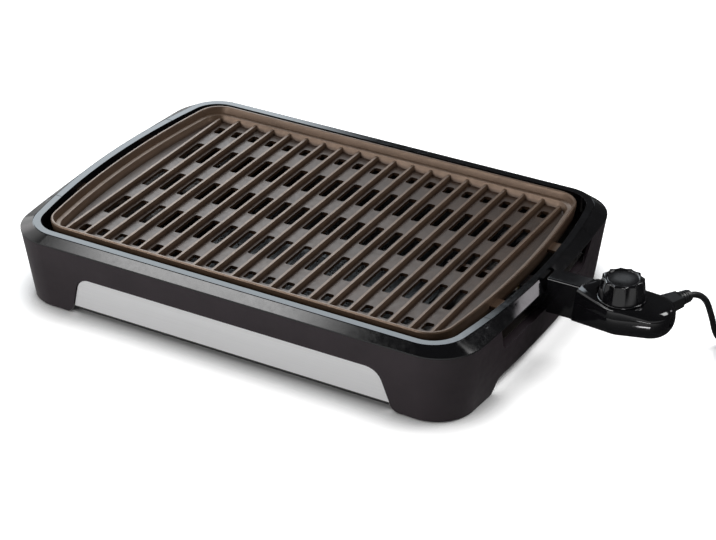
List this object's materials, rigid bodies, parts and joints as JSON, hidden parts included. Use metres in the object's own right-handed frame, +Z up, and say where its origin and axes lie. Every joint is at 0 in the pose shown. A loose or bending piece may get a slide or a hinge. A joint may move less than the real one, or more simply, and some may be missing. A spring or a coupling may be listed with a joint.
{
  "type": "countertop electric grill",
  "caption": "Open countertop electric grill with a ribbed, slotted cooking plate, end handles, slide-out drip tray behind a brushed panel, and a plug-in thermostat probe on a cord.",
  "frame": {"origin": "on the tabletop, midway between the four rubber feet", "axes": "+Z up, -Y towards the front with the brushed panel, +X towards the end where the probe plugs in"},
  "size_m": [0.7684, 0.3578, 0.1014],
  "materials": {
    "body_plastic": "satin",
    "gloss_black": "gloss",
    "nonstick": "satin",
    "brushed_panel": "brushed",
    "tray_black": "satin",
    "cover_plastic": "matte",
    "reflector": "satin",
    "element_sheath": "matte",
    "steel": "satin",
    "contact_metal": "satin",
    "ceramic": "satin",
    "rubber": "matte",
    "wire_sleeve": "matte",
    "cord_sheath": "satin"
  },
  "bodies": {
    "base": {"base_housing": "body_plastic", "base_cover": "cover_plastic", "cover_screws": "steel", "rubber_feet": "rubber", "bezel_front": "gloss_black", "bezel_rear": "gloss_black", "heat_shield": "reflector", "shield_rivets": "steel"},
    "plate": {"grill_plate": "nonstick", "heating_element": "element_sheath", "terminal_pins": "contact_metal", "terminal_bushes": "ceramic", "terminal_bracket": "steel", "bracket_screws": "steel", "handle_left": "gloss_black", "handle_right": "gloss_black", "handle_screws": "steel"},
    "tray": {"drip_tray": "tray_black", "tray_front": "cover_plastic", "front_panel": "brushed_panel", "tray_screws": "steel"},
    "probe": {"probe_neck": "gloss_black", "probe_block": "gloss_black", "probe_lower_shell": "gloss_black", "probe_upper_shell": "gloss_black", "probe_screws": "steel", "sensor_rod": "steel", "contact_sleeves": "contact_metal", "bus_rods": "contact_metal", "thermostat_base": "ceramic", "switch_blades": "contact_metal", "blade_spacers": "ceramic", "blade_rivet": "steel", "lead_wires": "wire_sleeve", "dial_bush": "contact_metal", "strain_relief": "cord_sheath", "cord_lead": "cord_sheath", "cord_coil": "cord_sheath", "cord_tail": "cord_sheath", "cord_tie": "cord_sheath", "plug_body": "cord_sheath", "plug_blades": "contact_metal"},
    "dial": {"dial_knob": "gloss_black", "dial_skirt": "gloss_black", "dial_cap": "gloss_black", "dial_shaft": "steel"}
  },
  "joints": [
    {"name": "tray_slide", "type": "slide", "parent": "base", "child": "tray", "axis": [0, -1, 0], "range_m": [0, 0.3]},
    {"name": "plate_lift", "type": "slide", "parent": "base", "child": "plate", "axis": [0, 0, 1], "range_m": [0, 0.12]},
    {"name": "probe_pull", "type": "slide", "parent": "plate", "child": "probe", "axis": [1, 0, 0], "range_m": [0, 0.12]},
    {"name": "dial_turn", "type": "hinge", "parent": "probe", "child": "dial", "pos_m": [0.3319, 0, 0.09], "axis": [0, 0, -1], "range_deg": [0, 270]}
  ]
}
